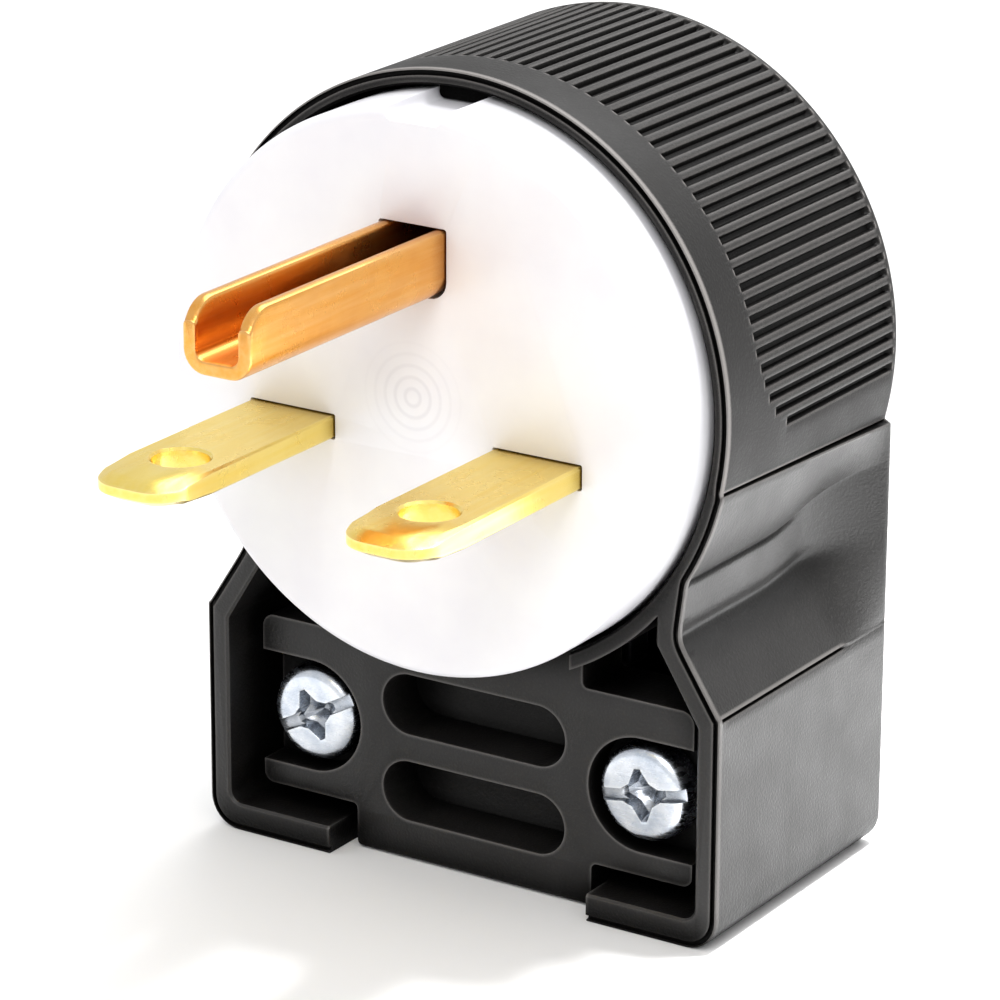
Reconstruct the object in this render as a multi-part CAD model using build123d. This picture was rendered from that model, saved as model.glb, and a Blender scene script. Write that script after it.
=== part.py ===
from build123d import *
from math import sqrt
import os

# Angled two-pole grounding plug: a ribbed nylon housing with a squared cord outlet below, a
# round white mating face in front, and a screwed cord clamp under the face.
# Frame: the origin is the centre of the mating face. +Z is up and away from the cord outlet,
# +X is to the right of somebody who looks at the face, and the blades point along -Y.
# All sizes are in millimetres.

# Housing
HOUSING_RADIUS = 19.8
HOUSING_FRONT = 4.8
HOUSING_BACK = 26.6
HALF_WIDTH = 19.6
UNDERSIDE = -34.8
SEAM_FRONT = -4.3
SEAM_BACK = -5.3
CORNER = 2.2
WALL = 1.6
BACK_WALL = 1.8
FLOOR_WALL = 1.9
CAVITY_TOP = -8.0
FACE_BORE = 18.75
SEAT = 9.6
SEAT_BORE = 17.4
SEAT_DEPTH = 2.0
RING_GAP = 8.6
RING_GAP_LEVELS = (-30.0, 0.0)
COLLAR_RADIUS = 19.95
RIDGE_LEVEL = -10.4
WAIST_HALF_WIDTH = 16.5
WAIST_LEVEL = -14.3
SHOULDER_LEVEL = -19.1
WAIST_RUN = ((18.0, 0.0), (21.0, 0.15), (24.0, 0.6), (HOUSING_BACK, 1.0))

# Ribs of the grip
GROOVE_STEP = 3.03
GROOVES_EACH_SIDE = 31
GROOVE_FRONT = 8.8
LOW_GROOVE_FRONTS = (12.2, 10.7, 9.9, 9.4, 9.1)
GROOVE_BACK = 25.9
GROOVE_WIDTH = 0.46
GROOVE_DEPTH = 0.42

# Mating face
FACE_RADIUS = 18.4
FACE_EDGE = 0.7
FACE_BACK = 10.6
KEY_WIDTH = 4.1
KEY_LEVEL = 17.5
KEY_FRONT = 5.9
KEY_BACK = 8.0
KEY_OVERLAP = 0.3
SLOT_GAP = 0.08
SCREW_WELL = (2.2, 8.8)

# Blades and ground pin, the 15 A 250 V pattern
BLADE_SPACING = 18.26
BLADE_WIDTH = 6.35
BLADE_THICK = 1.52
BLADE_LEVEL = -3.0
BLADE_LENGTH = 17.6
BLADE_TIP_RADIUS = 2.3
BLADE_BEVEL = 0.4
BLADE_HOLE = 3.7
BLADE_HOLE_REACH = 11.9
GROUND_RISE = 11.89
GROUND_WIDTH = 4.83
GROUND_HEIGHT = 4.4
GROUND_WALL = 0.9
GROUND_FOLD = 1.5
GROUND_LENGTH = 20.5
GROUND_NOSE = 2.0

# Terminals
PAD_FRONT = 11.2
PAD_BACK = PAD_FRONT + BLADE_THICK
LINE_PAD = (4.9, 12.7, -11.2)
LINE_PAD_CORNER = 2.0
LINE_SCREW = (8.8, -6.9)
GROUND_PAD = (3.6, -3.4)
GROUND_SCREW = (0.0, 1.4)
PLATE = {"left": (6.2, 6.9), "right": (6.2, 6.9), "ground": (5.9, 6.9)}
PLATE_THICK = 1.3
PLATE_REST_GAP = 0.1
PLATE_TEETH = (2.4, 0.35)
PLATE_CORNER = 0.6
TERMINAL_HEAD = (3.0, 2.0)
TERMINAL_RECESS = (0.9, 0.9)
TERMINAL_SHANK = 1.7
TERMINAL_REACH = 1.6
HEAD_ROUND = 0.55
CROSS_REACH = 0.52
CROSS_DEPTH = 1.3
THREAD_GAP = 0.04
HOLE_GAP = 0.25
PART_GAP = 0.1

# Terminal body behind the mating face
BODY_RADIUS = 16.9
BODY_BACK = 19.0
BODY_SCREW = (9.5, 8.5)
BODY_SCREW_SHANK = 1.2
BODY_SCREW_TIP = 5.0
TIP_ROOM = 0.5
BODY_SCREW_HEAD = (2.3, 1.6)
BODY_SCREW_RECESS = (0.7, 0.7)
HEAD_ROOM = 0.3
BODY_SCREW_SEAT = 16.0
LINE_CHAMBER = (3.5, 3.9)
LINE_WIRE_HALF = 2.4
GROUND_CHAMBER = (3.4, 3.9)
GROUND_WIRE_HALF = 2.2
WIRE_BACK = BODY_BACK - 2.0
LUG = (7.2, -21.0, -13.0)
LUG_FRONT = 14.6
LUG_BACK = 16.8

# Cord clamp and its screws
CLAMP_FRONT = 6.9
CLAMP_EAR_FLOOR = 9.1
CLAMP_EAR_BACK = 11.7
CLAMP_WEB_BACK = 12.2
CLAMP_JAW = 13.6
CLAMP_HALF_LENGTH = 16.6
CLAMP_WEB = 9.1
CLAMP_TAB = 8.3
TAB_TOP = -16.0
CLAMP_ARCH = 18.8
CLAMP_TOP = -19.75
CLAMP_ARM_BOTTOM = -31.7
CLAMP_BOTTOM = -34.6
CLAMP_CORNER = 0.7
CLAMP_SCREW = (12.7, -26.2)
EAR_RADIUS = 3.9
POCKET = (14.1, 4.2)
POCKET_LEVELS = (-23.8, -29.9)
POCKET_DEPTH = 4.0
JAW_LEVELS = (-24.5, -28.0, -31.5)
JAW_HALF_TALL = 0.6
CLAMP_HEAD = (3.3, 2.2)
CLAMP_RECESS = (1.0, 0.9)
CLAMP_SHANK = 1.72
CLAMP_SCREW_LENGTH = 12.7
POST_FRONT = 14.0
POST = (7.6, 5.0)
NUT = (7.9, 2.8)
NUT_FRONT = 16.5
BORE_END = 0.4
OUTLET_STEP = 0.2
JAW_GAP = 0.5
OUTLET_HALF_WIDTH = 10.0
OUTLET_RADIUS = 7.5
OUTLET_BACK_WALL = 1.2
GRIP_BAR_DEPTH = 1.3


def along_y(outline, start, end):
    """Extrude an X-Z outline from y = start to y = end."""
    return extrude(Plane.XZ.offset(-end) * outline, amount=end - start)


def rod(radius, start, end, x=0.0, z=0.0):
    return Pos(x, 0, z) * along_y(Circle(radius), start, end)


def block(x0, x1, y0, y1, z0, z1):
    centre = ((x0 + x1) / 2, (y0 + y1) / 2, (z0 + z1) / 2)
    return Pos(*centre) * Box(abs(x1 - x0), abs(y1 - y0), abs(z1 - z0))


def outline(points):
    return make_face(Polyline(*points, close=True))


def both_sides(shape):
    return shape + mirror(shape, Plane.YZ)


def write(name, shape):
    export_step(shape, f"parts/{name}.step")


# ---------------------------------------------------------------- housing
def neck_depth(level):
    """How far the front of the neck lies inside the straight side at a level above the ridge."""
    return HALF_WIDTH - sqrt(COLLAR_RADIUS**2 - level**2)


def waist_section(y, fade):
    """Outline cut from the right of the neck at y. A fade of 1 leaves the side straight."""
    far = HALF_WIDTH + 6
    clear = HALF_WIDTH + 0.02
    above = SEAM_FRONT + 1
    levels = [SEAM_FRONT + step * (RIDGE_LEVEL - SEAM_FRONT) / 4 for step in range(5)]
    depths = [(neck_depth(level), level) for level in levels]
    depths += [(HALF_WIDTH - WAIST_HALF_WIDTH, WAIST_LEVEL), (0, SHOULDER_LEVEL)]
    points = [(clear, above)] + [(clear - depth * (1 - fade), level) for depth, level in depths]
    points += [(far, SHOULDER_LEVEL), (far, above)]
    return Plane.XZ.offset(-y) * outline(points)


def waist_cutter():
    """Hollow on the right of the neck, of one depth in front and running out at the back."""
    stations = ((HOUSING_FRONT, 0.0),) + WAIST_RUN
    sections = [waist_section(y, fade) for y, fade in stations]
    pieces = [loft(list(pair), ruled=True) for pair in zip(sections, sections[1:])]
    return pieces[0] + pieces[1:]


def above_seam():
    """Everything above the sloping seam between the neck and the ribbed barrel."""
    top = SEAM_FRONT + 2
    side_view = outline([(HOUSING_FRONT, SEAM_FRONT), (HOUSING_BACK, SEAM_BACK),
                         (HOUSING_BACK, top), (HOUSING_FRONT, top)])
    return extrude(Plane.YZ * side_view, amount=HALF_WIDTH + 1, both=True)


def skirt():
    tall = SEAM_FRONT - UNDERSIDE
    section = Pos(0, (SEAM_FRONT + UNDERSIDE) / 2) * Rectangle(2 * HALF_WIDTH, tall)
    corners = section.vertices().sort_by(Axis.Y)[:2]
    solid = along_y(fillet(corners, CORNER), HOUSING_FRONT, HOUSING_BACK)
    return solid - both_sides(waist_cutter()) - above_seam()


def neck_cavity():
    """Room inside the skirt, with walls that follow the waist."""
    side = HALF_WIDTH - WALL
    waist = WAIST_HALF_WIDTH - WALL
    floor = UNDERSIDE + FLOOR_WALL
    right = [(side, floor), (side, SHOULDER_LEVEL - 0.7), (waist, WAIST_LEVEL - 0.5), (waist, CAVITY_TOP)]
    left = [(-x, z) for x, z in reversed(right)]
    return along_y(outline(right + left), HOUSING_FRONT, HOUSING_BACK - BACK_WALL)


def seat_ring():
    """Ring that carries the mating face, open at the bottom where the clamp sits."""
    ring = rod(HOUSING_RADIUS, HOUSING_FRONT, SEAT + SEAT_DEPTH)
    ring -= rod(FACE_BORE, HOUSING_FRONT, SEAT)
    ring -= rod(SEAT_BORE, SEAT, SEAT + SEAT_DEPTH)
    return ring - block(-RING_GAP, RING_GAP, HOUSING_FRONT, HOUSING_BACK, *RING_GAP_LEVELS)


def screw_post(side):
    """Post behind one end of the clamp, with a bore and a slot for a square nut."""
    x, z = side * CLAMP_SCREW[0], CLAMP_SCREW[1]
    inner, half_tall = POST
    back = HOUSING_BACK - BACK_WALL
    post = block(side * inner, side * (HALF_WIDTH - WALL / 2), POST_FRONT, back,
                 z - half_tall, z + half_tall)
    post -= rod(CLAMP_SHANK + HOLE_GAP, POST_FRONT, back - BORE_END, x, z)
    across, thick = NUT
    half_slot = across / 2 + PART_GAP
    return post - block(side * inner, x + side * half_slot, NUT_FRONT - PART_GAP / 2,
                        NUT_FRONT + thick + PART_GAP / 2, z - half_slot, z + half_slot)


def grip_groove(index):
    """One groove, counted from the top. The lowest grooves start further back."""
    tilt = index * GROOVE_STEP
    from_last = GROOVES_EACH_SIDE - abs(index)
    front = LOW_GROOVE_FRONTS[from_last] if from_last < len(LOW_GROOVE_FRONTS) else GROOVE_FRONT
    cutter = block(-GROOVE_WIDTH / 2, GROOVE_WIDTH / 2, front, GROOVE_BACK,
                   HOUSING_RADIUS - GROOVE_DEPTH, HOUSING_RADIUS + GROOVE_DEPTH)
    return Rot(0, tilt, 0) * cutter


def grip_grooves():
    """Grooves between the ribs, over the top half of the housing."""
    return [grip_groove(index) for index in range(-GROOVES_EACH_SIDE, GROOVES_EACH_SIDE + 1)]


def cord_outlet():
    """Opening in the underside: wide where the clamp sits, round behind it."""
    front = POST_FRONT - OUTLET_STEP
    centre = HOUSING_BACK - BACK_WALL - OUTLET_RADIUS - OUTLET_BACK_WALL
    opening = block(-OUTLET_HALF_WIDTH, OUTLET_HALF_WIDTH, HOUSING_FRONT, front,
                    UNDERSIDE, UNDERSIDE + FLOOR_WALL)
    opening += block(-OUTLET_RADIUS, OUTLET_RADIUS, front, centre,
                     UNDERSIDE, UNDERSIDE + FLOOR_WALL)
    hole = Pos(0, centre, UNDERSIDE + FLOOR_WALL / 2) * Cylinder(OUTLET_RADIUS, FLOOR_WALL)
    return opening + hole


def grip_bar(level):
    """Ridge on the back wall that bites into the cord jacket."""
    back = HOUSING_BACK - BACK_WALL
    return block(-POST[0], POST[0], back - GRIP_BAR_DEPTH, back,
                 level - JAW_HALF_TALL, level + JAW_HALF_TALL)


def housing():
    barrel = rod(HOUSING_RADIUS, HOUSING_FRONT, HOUSING_BACK)
    shell = barrel + skirt()
    shell -= rod(FACE_BORE, HOUSING_FRONT, SEAT)
    shell -= rod(SEAT_BORE, SEAT, HOUSING_BACK - BACK_WALL)
    shell -= neck_cavity()
    shell += seat_ring()
    shell += screw_post(-1) + screw_post(1)
    shell += [grip_bar(level) for level in JAW_LEVELS]
    shell -= cord_outlet()
    key_half = KEY_WIDTH / 2 - PART_GAP
    key = block(-key_half, key_half, KEY_FRONT, KEY_BACK - PART_GAP,
                KEY_LEVEL + PART_GAP, FACE_BORE + KEY_OVERLAP)
    shell += key
    return shell - grip_grooves()


# ---------------------------------------------------------------- mating face
def blade_slot(side):
    width = BLADE_WIDTH + 2 * SLOT_GAP
    tall = BLADE_THICK + 2 * SLOT_GAP
    slot = Pos(side * BLADE_SPACING / 2, BLADE_LEVEL) * Rectangle(width, tall)
    return along_y(slot, 0, FACE_BACK)


def terminal_places():
    """Centre of each terminal screw, with the name of its terminal."""
    x, z = LINE_SCREW
    return {"left": (-x, z), "right": (x, z), "ground": GROUND_SCREW}


def ground_level():
    return BLADE_LEVEL + GROUND_RISE


def plug_face():
    disc = rod(FACE_RADIUS, 0, SEAT)
    front_edge = disc.edges().filter_by(GeomType.CIRCLE).sort_by(Axis.Y)[0]
    disc = fillet(front_edge, FACE_EDGE)
    disc -= block(-KEY_WIDTH / 2, KEY_WIDTH / 2, 0, KEY_BACK, KEY_LEVEL, FACE_RADIUS)
    disc += rod(BODY_RADIUS, SEAT, FACE_BACK)
    disc -= blade_slot(-1) + blade_slot(1)
    pin_slot = Rectangle(GROUND_WIDTH + 2 * SLOT_GAP, GROUND_HEIGHT + 2 * SLOT_GAP)
    disc -= along_y(Pos(0, ground_level()) * pin_slot, 0, FACE_BACK)
    radius, front = SCREW_WELL
    for x, z in terminal_places().values():
        disc -= rod(radius, front, FACE_BACK, x, z)
    x, z = BODY_SCREW
    for side in (-1, 1):
        disc -= rod(BODY_SCREW_SHANK, BODY_SCREW_TIP - TIP_ROOM, FACE_BACK, side * x, z)
    return disc


# ---------------------------------------------------------------- conductors
def blade_tongue():
    """Flat blade from its rounded tip to the bend, at the middle of the mating face."""
    width = BLADE_WIDTH
    flat = Pos(0, (PAD_BACK - BLADE_LENGTH) / 2) * Rectangle(width, PAD_BACK + BLADE_LENGTH)
    tip = flat.vertices().sort_by(Axis.Y)[:2]
    flat = fillet(tip, BLADE_TIP_RADIUS)
    flat -= Pos(0, -BLADE_HOLE_REACH) * Circle(BLADE_HOLE / 2)
    tongue = extrude(flat, amount=BLADE_THICK / 2, both=True)
    edges = tongue.edges().filter_by(lambda edge: edge.center().Y < BLADE_TIP_RADIUS - BLADE_LENGTH + 0.3)
    edges = edges.filter_by(lambda edge: abs(abs(edge.center().Z) - BLADE_THICK / 2) < 0.01)
    return chamfer(edges, BLADE_BEVEL)


def line_blade(side):
    inner, outer, bottom = LINE_PAD
    top = BLADE_THICK / 2
    drop = bottom - BLADE_LEVEL
    pad = block(inner, outer, PAD_FRONT, PAD_BACK, drop, top)
    corner = pad.edges().filter_by(Axis.Y).sort_by(lambda edge: edge.center().X - edge.center().Z)
    pad = chamfer(corner[-1], LINE_PAD_CORNER)
    blade = Pos(BLADE_SPACING / 2, 0, 0) * blade_tongue() + pad
    x, z = LINE_SCREW
    blade -= rod(TERMINAL_SHANK + THREAD_GAP, PAD_FRONT, PAD_BACK, x, z - BLADE_LEVEL)
    blade = Pos(0, 0, BLADE_LEVEL) * blade
    return blade if side > 0 else mirror(blade, Plane.YZ)


def nose_cutter():
    """Rounds the top front corner of the channel's two walls."""
    start, top = -GROUND_LENGTH, GROUND_HEIGHT / 2
    half = GROUND_WIDTH
    corner = block(-half, half, start - 1, start + GROUND_NOSE, top - GROUND_NOSE, top + 1)
    return corner - Pos(0, start + GROUND_NOSE, top - GROUND_NOSE) * Rot(0, 90, 0) * Cylinder(
        GROUND_NOSE, 2 * half)


def ground_pin():
    """Folded U channel, open on top, whose floor bends down into the terminal pad."""
    half_width, half_height = GROUND_WIDTH / 2, GROUND_HEIGHT / 2
    floor = -half_height + GROUND_WALL
    section = Rectangle(GROUND_WIDTH, GROUND_HEIGHT)
    section = fillet(section.vertices().sort_by(Axis.Y)[:2], GROUND_FOLD)
    inner = Pos(0, floor + GROUND_HEIGHT / 2) * Rectangle(2 * (half_width - GROUND_WALL), GROUND_HEIGHT)
    inner = fillet(inner.vertices().sort_by(Axis.Y)[:2], GROUND_FOLD - GROUND_WALL)
    channel = along_y(section - inner, -GROUND_LENGTH, PAD_FRONT) - nose_cutter()
    pad_half, pad_bottom = GROUND_PAD
    level = ground_level()
    pad = block(-pad_half, pad_half, PAD_FRONT, PAD_BACK, pad_bottom - level, floor)
    pin = Pos(0, 0, level) * (channel + pad)
    return pin - rod(TERMINAL_SHANK + THREAD_GAP, PAD_FRONT, PAD_BACK, *GROUND_SCREW)


# ---------------------------------------------------------------- terminals
def wire_plate(name):
    """Plate that presses the bare wire on to its pad."""
    width, tall = PLATE[name]
    x, z = terminal_places()[name]
    front = PAD_BACK + PLATE_REST_GAP
    plate = fillet((Pos(x, z) * Rectangle(width, tall)).vertices(), PLATE_CORNER)
    plate = along_y(plate, front, front + PLATE_THICK)
    offset, depth = PLATE_TEETH
    for level in (z - offset, z + offset):
        plate -= Pos(x, front, level) * Rot(0, 90, 0) * Cylinder(depth, width)
    return plate - rod(TERMINAL_SHANK + HOLE_GAP, front, front + PLATE_THICK, x, z)


def recessed_head(radius, height, slot_width, slot_depth):
    """Pan head with a driver slot crossed by a shorter one: seat at y = 0, top at -height."""
    head = rod(radius, -height, 0)
    rim = head.edges().filter_by(GeomType.CIRCLE).sort_by(Axis.Y)[0]
    head = fillet(rim, HEAD_ROUND * height)
    head -= block(-radius, radius, -height, -height + slot_depth, -slot_width / 2, slot_width / 2)
    cross = CROSS_REACH * radius
    return head - block(-slot_width / 2, slot_width / 2, -height,
                        -height + CROSS_DEPTH * slot_depth, -cross, cross)


def terminal_screw(name):
    """Screw whose head faces the back of the plug."""
    radius, height = TERMINAL_HEAD
    x, z = terminal_places()[name]
    seat = PAD_BACK + PLATE_REST_GAP + PLATE_THICK
    head = Rot(180, 0, 0) * recessed_head(radius, height, *TERMINAL_RECESS)
    return Pos(x, seat, z) * head + rod(TERMINAL_SHANK, PAD_FRONT - TERMINAL_REACH, seat, x, z)


def terminal_body():
    """Insulating body with a chamber for each terminal, open to the back and to the cord."""
    body = rod(BODY_RADIUS, FACE_BACK, BODY_BACK)
    inner, outer, bottom = LINE_PAD
    top = BLADE_LEVEL + BLADE_THICK / 2
    seat = block(inner - PART_GAP, outer + PART_GAP, FACE_BACK, PAD_BACK,
                 bottom - PART_GAP, top + PART_GAP)
    x, z = LINE_SCREW
    half, half_tall = LINE_CHAMBER
    room = block(x - half, x + half, FACE_BACK, BODY_BACK, z - half_tall, z + half_tall)
    wire = block(x - LINE_WIRE_HALF, x + LINE_WIRE_HALF, PAD_BACK, WIRE_BACK, -BODY_RADIUS, z)
    body -= both_sides(seat + room + wire)
    half, bottom = GROUND_PAD
    body -= block(-half - PART_GAP, half + PART_GAP, FACE_BACK, PAD_BACK,
                  bottom - PART_GAP, ground_level() + GROUND_HEIGHT / 2)
    x, z = GROUND_SCREW
    half, half_tall = GROUND_CHAMBER
    body -= block(x - half, x + half, FACE_BACK, BODY_BACK, z - half_tall, z + half_tall)
    half, low, high = LUG
    foot = block(-half, half, LUG_FRONT, LUG_BACK, low, high)
    body += foot
    body -= block(x - GROUND_WIRE_HALF, x + GROUND_WIRE_HALF, PAD_BACK, WIRE_BACK, low, z)
    radius = BODY_SCREW_HEAD[0]
    for side in (-1, 1):
        place = (side * BODY_SCREW[0], BODY_SCREW[1])
        body -= rod(BODY_SCREW_SHANK + HOLE_GAP, FACE_BACK, BODY_SCREW_SEAT, *place)
        body -= rod(radius + HEAD_ROOM, BODY_SCREW_SEAT, BODY_BACK, *place)
    return body


def body_screw(side):
    """Self-tapping screw that holds the terminal body to the mating face."""
    radius, height = BODY_SCREW_HEAD
    x, z = side * BODY_SCREW[0], BODY_SCREW[1]
    head = Rot(180, 0, 0) * recessed_head(radius, height, *BODY_SCREW_RECESS)
    shank = rod(BODY_SCREW_SHANK, BODY_SCREW_TIP, BODY_SCREW_SEAT, x, z)
    return Pos(x, BODY_SCREW_SEAT, z) * head + shank


# ---------------------------------------------------------------- cord clamp
def clamp_pocket(level):
    return along_y(Pos(0, level) * SlotOverall(*POCKET), CLAMP_FRONT, CLAMP_FRONT + POCKET_DEPTH)


def screw_bay(side):
    """Bay for a screw head, round inside and open to the side."""
    x, z = side * CLAMP_SCREW[0], CLAMP_SCREW[1]
    bay = rod(EAR_RADIUS, CLAMP_FRONT, CLAMP_EAR_FLOOR, x, z)
    return bay + block(x, side * HALF_WIDTH, CLAMP_FRONT, CLAMP_EAR_FLOOR,
                       z - EAR_RADIUS, z + EAR_RADIUS)


def cord_clamp():
    half_tall = (CLAMP_TOP - CLAMP_ARM_BOTTOM) / 2
    ears = Pos(0, CLAMP_TOP - half_tall) * Rectangle(2 * CLAMP_HALF_LENGTH, 2 * half_tall)
    ears = fillet(ears.vertices(), CLAMP_CORNER)
    clamp = along_y(ears, CLAMP_FRONT, CLAMP_EAR_BACK)
    clamp += block(-CLAMP_WEB, CLAMP_WEB, CLAMP_FRONT, CLAMP_EAR_BACK, CLAMP_BOTTOM, CLAMP_TOP)
    clamp += block(-CLAMP_TAB, CLAMP_TAB, CLAMP_FRONT, CLAMP_WEB_BACK, CLAMP_TOP - 1, TAB_TOP)
    jaw_half = POST[0] - JAW_GAP
    clamp += block(-jaw_half, jaw_half, CLAMP_EAR_BACK, CLAMP_WEB_BACK, CLAMP_BOTTOM, CLAMP_TOP)
    clamp -= rod(CLAMP_ARCH, CLAMP_FRONT, CLAMP_WEB_BACK)
    for level in JAW_LEVELS:
        clamp += block(-jaw_half, jaw_half, CLAMP_WEB_BACK, CLAMP_JAW,
                       level - JAW_HALF_TALL, level + JAW_HALF_TALL)
    for level in POCKET_LEVELS:
        clamp -= clamp_pocket(level)
    for side in (-1, 1):
        clamp -= screw_bay(side)
        clamp -= rod(CLAMP_SHANK + HOLE_GAP, CLAMP_EAR_FLOOR, CLAMP_EAR_BACK,
                     side * CLAMP_SCREW[0], CLAMP_SCREW[1])
    return clamp


def cord_clamp_screw(side):
    radius, height = CLAMP_HEAD
    x, z = side * CLAMP_SCREW[0], CLAMP_SCREW[1]
    head = Pos(x, CLAMP_EAR_FLOOR, z) * recessed_head(radius, height, *CLAMP_RECESS)
    return head + rod(CLAMP_SHANK, CLAMP_EAR_FLOOR, CLAMP_EAR_FLOOR + CLAMP_SCREW_LENGTH, x, z)


def clamp_nut(side):
    across, thick = NUT
    x, z = side * CLAMP_SCREW[0], CLAMP_SCREW[1]
    nut = block(x - across / 2, x + across / 2, NUT_FRONT, NUT_FRONT + thick,
                z - across / 2, z + across / 2)
    return nut - rod(CLAMP_SHANK + THREAD_GAP, NUT_FRONT, NUT_FRONT + thick, x, z)


# ---------------------------------------------------------------- files
os.makedirs("parts", exist_ok=True)

write("housing", housing())
write("plug_face", plug_face())
write("terminal_body", terminal_body())
write("ground_pin", ground_pin())
write("cord_clamp", cord_clamp())
for terminal in ("left", "right", "ground"):
    write(f"wire_plate_{terminal}", wire_plate(terminal))
    write(f"terminal_screw_{terminal}", terminal_screw(terminal))
for label, side in (("left", -1), ("right", 1)):
    write(f"line_blade_{label}", line_blade(side))
    write(f"body_screw_{label}", body_screw(side))
    write(f"cord_clamp_screw_{label}", cord_clamp_screw(side))
    write(f"clamp_nut_{label}", clamp_nut(side))
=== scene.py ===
import math

import bmesh
import bpy
from mathutils import Matrix, Vector


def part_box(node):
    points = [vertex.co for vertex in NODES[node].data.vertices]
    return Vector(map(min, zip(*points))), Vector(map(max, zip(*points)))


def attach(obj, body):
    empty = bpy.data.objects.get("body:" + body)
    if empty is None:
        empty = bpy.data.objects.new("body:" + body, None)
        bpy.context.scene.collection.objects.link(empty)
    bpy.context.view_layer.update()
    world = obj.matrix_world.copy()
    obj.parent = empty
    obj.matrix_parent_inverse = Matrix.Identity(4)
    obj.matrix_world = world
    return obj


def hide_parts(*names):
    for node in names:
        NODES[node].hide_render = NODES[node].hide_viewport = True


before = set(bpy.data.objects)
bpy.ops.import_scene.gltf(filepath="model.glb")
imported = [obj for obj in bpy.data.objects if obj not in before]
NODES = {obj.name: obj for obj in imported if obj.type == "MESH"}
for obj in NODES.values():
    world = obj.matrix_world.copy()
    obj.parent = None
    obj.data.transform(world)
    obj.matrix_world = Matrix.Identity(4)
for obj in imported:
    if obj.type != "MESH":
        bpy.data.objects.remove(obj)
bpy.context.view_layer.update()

# Looks of the angled power plug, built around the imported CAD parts.
# Shapes are worked out in millimetres in the row frame and stored in metres:
# the mating face is centred on the origin, the blades point along -Y and +Z is up.
MM = 0.001


def span(node):
    """Box of a CAD node in millimetres: ((x0, x1), (y0, y1), (z0, z1))."""
    low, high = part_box(node)
    return [(low[axis] / MM, high[axis] / MM) for axis in range(3)]


# ---------------------------------------------------------------- sizes
# Sides of the CAD boxes.
(_, RADIUS), (FRONT, BACK), (UNDERSIDE, _) = span("housing")
(_, FACE_RADIUS), (_, FACE_BACK), _ = span("plug_face")
_, (BLADE_TIP, PAD_BACK), (PAD_LOW, BLADE_TOP) = span("line_blade_right")
_, (PIN_TIP, _), (PIN_PAD_LOW, PIN_TOP) = span("ground_pin")
(_, CLAMP_END), (CLAMP_FRONT, CLAMP_JAW), (CLAMP_LOW, _) = span("cord_clamp")

# Neck and skirt: SEAM, RIDGE, VALLEY and SHOULDER are levels, from the barrel down.
HALF_WIDTH, CORNER, BACK_EDGE = 19.6, 2.2, 0.45
COLLAR = RADIUS + 0.15
SEAM_FRONT, SEAM_BACK, SEAM_DEPTH = -4.3, -5.3, 0.5
RIDGE, RIDGE_RISE, RIDGE_SOFTNESS = -10.4, 2.4, 0.05
VALLEY, VALLEY_RISE, VALLEY_SOFTNESS, VALLEY_X = -14.3, 1.3, 0.22, 16.5
SHOULDER, SLIT_DEPTH, LIP_DEPTH = -19.1, 0.55, 0.06
SKIRT_LEVELS = (-29.0, -25.0, -22.0, -20.0, SHOULDER - 0.22)
# Depths between which the waist runs out towards the back.
WAIST_FADE, WAIST_RISE, SLIT_FADE = (19.6, BACK - 0.4), (15.0, BACK), (19.6, 21.4)
# Half height and depth of a crease, and the depths between which it fades.
RIDGE_CREASE, VALLEY_CREASE = (0.20, 0.26, 15.5, 21.0), (0.75, 0.42, 20.5, 23.0)

# Grip grooves; the lowest ones start further back.
GROOVE_STEP = math.radians(3.03)
GROOVES_EACH_SIDE = 31
GROOVE_FRONT, GROOVE_BACK = 8.8, 25.9
LOW_GROOVE_FRONTS = (12.2, 10.7, 9.9, 9.4, 9.1)
GROOVE_DEPTH, GROOVE_RUN = 0.42, 0.35
# (place across in groove steps, share of the depth)
GROOVE_PROFILE = ((-0.36, 0.03), (-0.27, 0.16), (-0.215, 0.55), (-0.14, 0.95), (0.0, 1.0),
                  (0.14, 0.95), (0.215, 0.55), (0.27, 0.16), (0.36, 0.03), (0.5, 0.0))

# Inside of the housing.
WALL, BACK_WALL, FLOOR_WALL, MOUTH_EASE = 1.6, 1.8, 1.9, 0.16
FACE_BORE, SEAT, SEAT_BORE, SEAT_BACK, RING_GAP = 18.75, 9.6, 17.4, 11.6, 8.6
POST_IN, POST_HALF, POST_FRONT = 7.6, 5.0, 14.0
JAW_LEVELS, JAW_HALF, GRIP_BAR_DEPTH = (-24.5, -28.0, -31.5), 0.6, 1.3
NUT_ACROSS, NUT_FRONT, NUT_THICK, NUT_SIDE_GAP, NUT_END_GAP = 7.9, 16.5, 2.8, 0.1, 0.05
CLAMP_SCREW_X, CLAMP_SCREW_Z, CLAMP_SCREW_HOLE, EAR_FLOOR = 12.7, -26.2, 1.97, 9.1
OUTLET_HALF_WIDTH, OUTLET_RADIUS, OUTLET_WALL, OUTLET_STEP = 10.0, 7.5, 1.2, 0.2

# Mating face.
FACE_EDGE, FACE_BODY, SLOT_GAP = 0.7, 16.9, 0.08
KEY_WIDTH, KEY_LEVEL, KEY_FRONT, KEY_BACK, KEY_GAP = 4.1, 17.5, 5.9, 8.0, 0.1
BODY_SCREW_X, BODY_SCREW_Z, BODY_SCREW_HOLE, BODY_SCREW_FRONT = 9.5, 8.5, 1.2, 4.5
TERMINALS = {"left": (-8.8, -6.9), "right": (8.8, -6.9), "ground": (0.0, 1.4)}
TERMINAL_HOLE, SCREW_WELL, SCREW_WELL_FRONT = 1.74, 2.2, 8.8

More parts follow.
